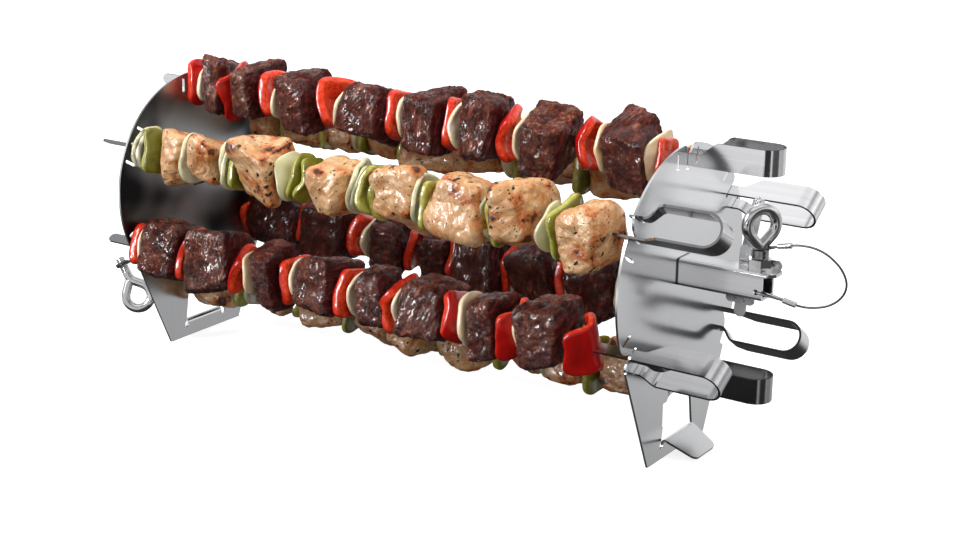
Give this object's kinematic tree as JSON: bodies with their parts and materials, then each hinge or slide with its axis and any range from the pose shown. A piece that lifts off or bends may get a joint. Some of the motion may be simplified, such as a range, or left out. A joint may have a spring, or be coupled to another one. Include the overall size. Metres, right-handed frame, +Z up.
{
  "type": "rotisserie spit roaster",
  "caption": "Rotisserie cage of two upright steel end plates on square spit hubs, carrying flat skewers with hairpin handles, food cubes, eye bolts and wire lanyards.",
  "frame": {"origin": "on the spit axis, midway between the two end plates", "axes": "+X along the spit towards the skewer handles, -Y towards the viewer, +Z up"},
  "size_m": [0.5848, 0.1688, 0.2086],
  "materials": {
    "plate_steel": "brushed, mirror-like close up",
    "hub_steel": "satin, rounded edges bright",
    "nut_steel": "bright turned",
    "polished_rod": "polished",
    "washer_steel": "bright, dark in the grooves",
    "wire_rope": "fine twisted strands",
    "crimp_sleeve": "satin, pressed flat",
    "clip_steel": "plain sheet",
    "skewer_steel": "polished flat strip",
    "beef": "seared, glossy juices",
    "chicken": "grilled, herb flecks",
    "red_pepper": "glossy skin",
    "green_pepper": "glossy, slightly charred",
    "onion": "translucent layers"
  },
  "bodies": {
    "right_plate": {"right_end_plate": "plate_steel", "right_hub_tube": "hub_steel", "right_clamp_nut": "nut_steel", "right_lanyard_cable": "wire_rope", "right_hub_loop": "wire_rope", "right_hub_sleeve": "crimp_sleeve", "hub_strip_clip": "clip_steel", "strip_clip_rivets": "clip_steel"},
    "right_lanyard_end": {"right_bolt_loop": "wire_rope", "right_bolt_sleeve": "crimp_sleeve"},
    "right_bolt": {"right_eye_bolt": "polished_rod", "right_jam_washers": "washer_steel"},
    "left_plate": {"left_end_plate": "plate_steel", "left_hub_tube": "hub_steel", "left_clamp_nut": "nut_steel"},
    "left_bolt": {"left_eye_bolt": "polished_rod", "left_stop_washer": "washer_steel", "left_lanyard_cable": "wire_rope", "left_bolt_loop": "wire_rope", "left_bolt_sleeve": "crimp_sleeve", "left_hub_loop": "wire_rope", "left_hub_sleeve": "crimp_sleeve"},
    "skewer_1": {"skewer_1": "skewer_steel", "kebab_1_meat": "beef", "kebab_1_peppers": "red_pepper", "kebab_1_onions": "onion"},
    "skewer_2": {"skewer_2": "skewer_steel", "kebab_2_meat": "chicken", "kebab_2_peppers": "green_pepper", "kebab_2_onions": "onion"},
    "skewer_3": {"skewer_3": "skewer_steel", "kebab_3_meat": "beef", "kebab_3_peppers": "red_pepper", "kebab_3_onions": "onion"},
    "skewer_4": {"skewer_4": "skewer_steel", "kebab_4_meat": "chicken", "kebab_4_peppers": "green_pepper", "kebab_4_onions": "onion"},
    "skewer_5": {"skewer_5": "skewer_steel", "kebab_5_meat": "beef", "kebab_5_peppers": "red_pepper", "kebab_5_onions": "onion"},
    "skewer_6": {"skewer_6": "skewer_steel", "kebab_6_meat": "chicken", "kebab_6_peppers": "green_pepper", "kebab_6_onions": "onion"}
  },
  "joints": [
    {"name": "right_bolt_lift", "type": "slide", "parent": "right_plate", "child": "right_lanyard_end", "axis": [0, 0, 1], "range_m": [0, 0.005]},
    {"name": "right_bolt_turn", "type": "hinge", "parent": "right_lanyard_end", "child": "right_bolt", "pos_m": [0.25, 0, 0.0385], "axis": [0, 0, 1], "range_deg": [0, 1440]},
    {"name": "left_plate_slide", "type": "slide", "parent": "right_plate", "child": "left_plate", "axis": [-1, 0, 0], "range_m": [0, 0.02]},
    {"name": "left_lanyard_swing", "type": "hinge", "parent": "left_plate", "child": "left_bolt", "pos_m": [-0.2522, -0.00745, -0.0006], "axis": [0, 1, 0], "range_deg": [0, 60]},
    {"name": "skewer_1_pull", "type": "slide", "parent": "right_plate", "child": "skewer_1", "axis": [1, 0, 0], "range_m": [0, 0.009]},
    {"name": "skewer_2_pull", "type": "slide", "parent": "right_plate", "child": "skewer_2", "axis": [1, 0, 0], "range_m": [0, 0.009]},
    {"name": "skewer_3_pull", "type": "slide", "parent": "right_plate", "child": "skewer_3", "axis": [1, 0, 0], "range_m": [0, 0.009]},
    {"name": "skewer_4_pull", "type": "slide", "parent": "right_plate", "child": "skewer_4", "axis": [1, 0, 0], "range_m": [0, 0.009]},
    {"name": "skewer_5_pull", "type": "slide", "parent": "right_plate", "child": "skewer_5", "axis": [1, 0, 0], "range_m": [0, 0.009]},
    {"name": "skewer_6_pull", "type": "slide", "parent": "right_plate", "child": "skewer_6", "axis": [1, 0, 0], "range_m": [0, 0.009]}
  ],
  "couplings": [
    {"joint": "right_bolt_turn", "follows": "right_bolt_lift", "rad_per_m": 5026.5}
  ]
}
